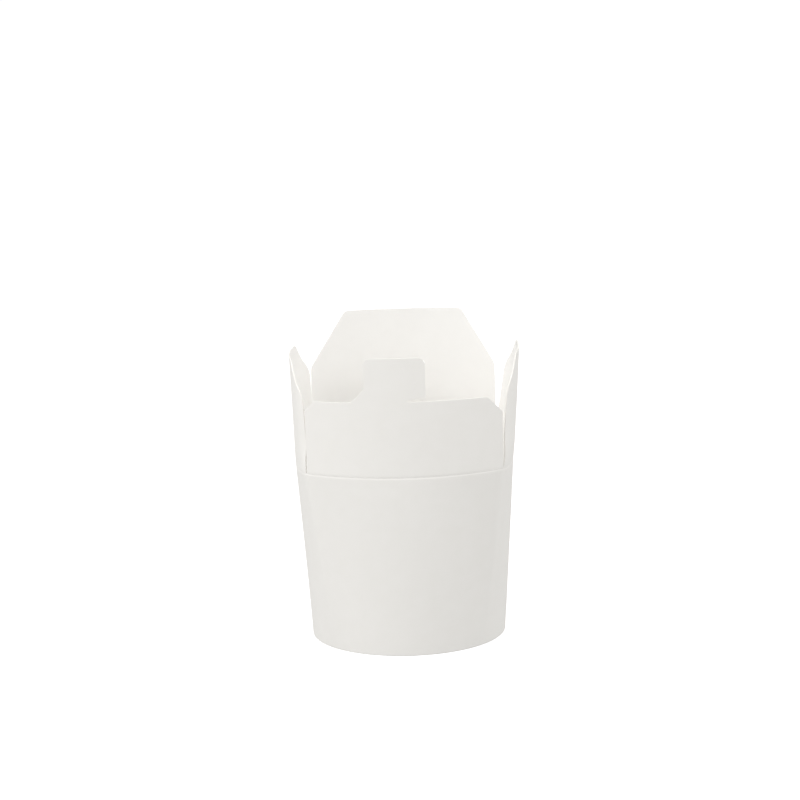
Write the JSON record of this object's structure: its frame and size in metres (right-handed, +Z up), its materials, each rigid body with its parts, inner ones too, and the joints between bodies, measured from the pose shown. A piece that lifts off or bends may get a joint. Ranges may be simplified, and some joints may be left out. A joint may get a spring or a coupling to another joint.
{
  "type": "noodle takeaway box",
  "caption": "Round-footed paperboard noodle box standing open, with hinged side flaps, a front flap with a locking tongue and a taller slotted back flap.",
  "frame": {"origin": "centre of the box's bounding box on the surface it stands on", "axes": "+Z up, -Y towards the front flap with the tongue, +X to the box's right as seen from the front"},
  "size_m": [0.102, 0.103, 0.141],
  "materials": {
    "outer_board": "bleached white board, smooth and matt outside, unprinted",
    "lined_board": "bleached white board with a thin clear food lining, low sheen"
  },
  "bodies": {
    "box": {"wall": "outer_board", "base": "lined_board"},
    "front": {"front_flap": "outer_board"},
    "back": {"back_flap": "outer_board"},
    "left": {"left_flap": "outer_board"},
    "right": {"right_flap": "outer_board"}
  },
  "joints": [
    {"name": "front_crease", "type": "hinge", "parent": "box", "child": "front", "pos_m": [0, -0.0374, 0.0827], "axis": [-1, 0, 0], "range_deg": [0, 81]},
    {"name": "back_crease", "type": "hinge", "parent": "box", "child": "back", "pos_m": [0, 0.0374, 0.0827], "axis": [1, 0, 0], "range_deg": [0, 74]},
    {"name": "left_crease", "type": "hinge", "parent": "box", "child": "left", "pos_m": [-0.0432, 0, 0.081], "axis": [0, 1, 0], "range_deg": [0, 97]},
    {"name": "right_crease", "type": "hinge", "parent": "box", "child": "right", "pos_m": [0.0432, 0, 0.081], "axis": [0, -1, 0], "range_deg": [0, 94]}
  ]
}
